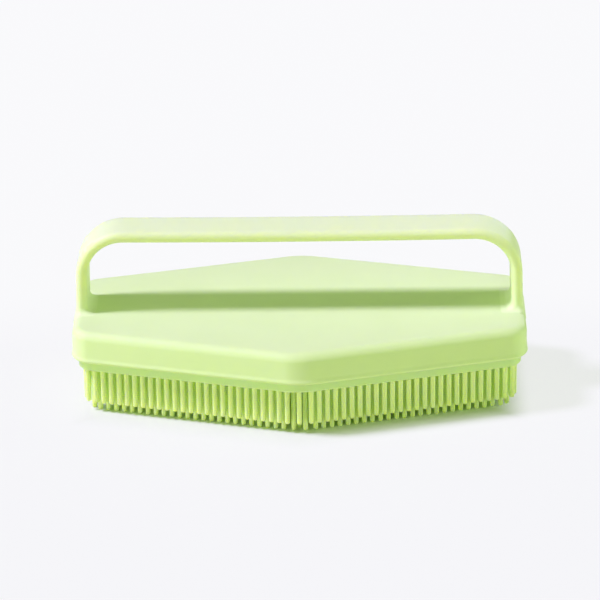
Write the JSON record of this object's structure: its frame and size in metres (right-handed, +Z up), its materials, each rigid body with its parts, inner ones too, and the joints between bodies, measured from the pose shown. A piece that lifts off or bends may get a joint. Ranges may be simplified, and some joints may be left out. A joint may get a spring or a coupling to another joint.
{
  "type": "scalp massager brush",
  "caption": "Hexagonal hand brush with an arched strap over a hollow grip shell and a soft pad of round-tipped bristles, for massaging the scalp or body.",
  "frame": {"origin": "bottom centre of the brush, in the plane of the longest bristles' tips", "axes": "+X along the body, from one strap foot to the other; +Y across the body, away from the viewer; +Z up, from the bristles to the strap"},
  "size_m": [0.1306, 0.0756, 0.0506],
  "materials": {
    "grip_shell": "fine matte moulding",
    "strap": "fine matte moulding, flexible",
    "bristle_silicone": "soft translucent silicone",
    "inner_plate": "plain moulding",
    "seal": "soft silicone",
    "stainless": "stainless steel"
  },
  "bodies": {
    "root": {"top_shell": "grip_shell", "handle_strap": "strap", "strap_pins": "stainless", "backing_plate": "inner_plate", "seal_ring": "seal", "plate_screws": "stainless", "bristle_pad": "bristle_silicone"}
  },
  "joints": []
}
